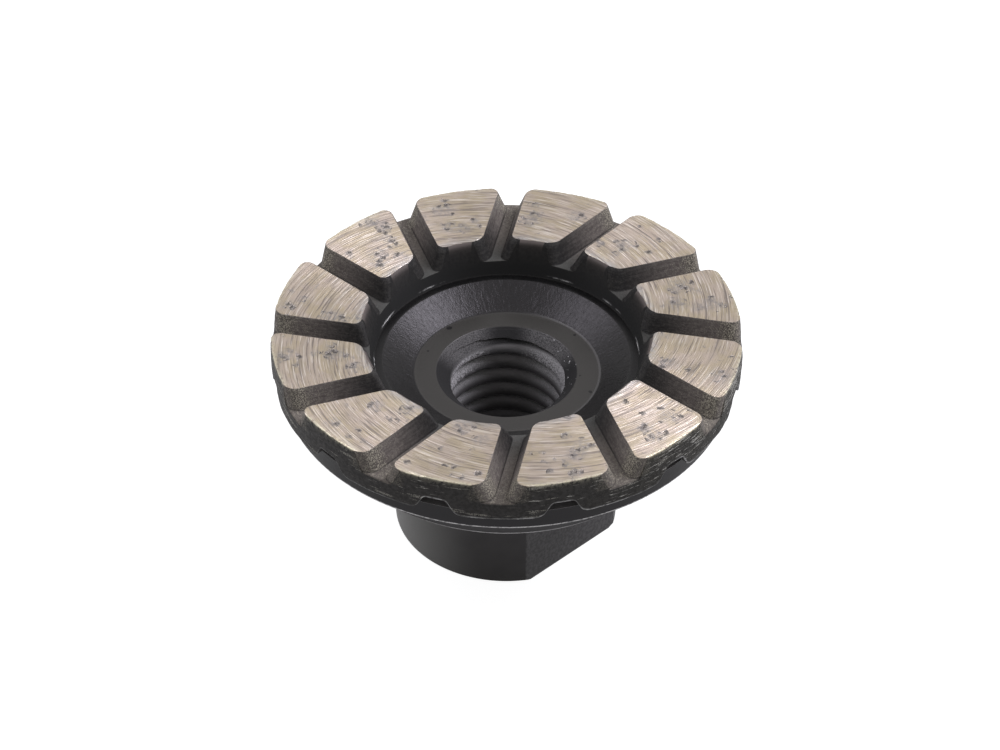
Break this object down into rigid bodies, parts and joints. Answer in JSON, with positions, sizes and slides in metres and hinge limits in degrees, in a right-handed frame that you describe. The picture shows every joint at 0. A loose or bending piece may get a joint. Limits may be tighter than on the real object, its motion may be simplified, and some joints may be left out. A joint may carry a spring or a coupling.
{
  "type": "diamond cup wheel",
  "caption": "Cup-shaped grinding wheel: a steel cup with a threaded hub and wrench flats carries a sintered diamond ring cut into skewed segments.",
  "frame": {"origin": "centre of the hub's bottom seat face, on the spindle axis", "axes": "+Z along the spindle axis, out of the grinding face; +X square to one of the two wrench flats"},
  "size_m": [0.05, 0.05, 0.0258],
  "materials": {
    "black_paint": "Satin black paint over turned steel, with a faint blasted grain on the dished cone and bare worn spots on the first turns of the thread.",
    "diamond_bond": "Sintered metal bond full of diamond grit: the ground segment tops are warm grey with fine streaks round the axis and dark pits, the walls are near-black and scuffed."
  },
  "bodies": {
    "root": {"steel_body": "black_paint", "segment_ring": "diamond_bond"}
  },
  "joints": []
}
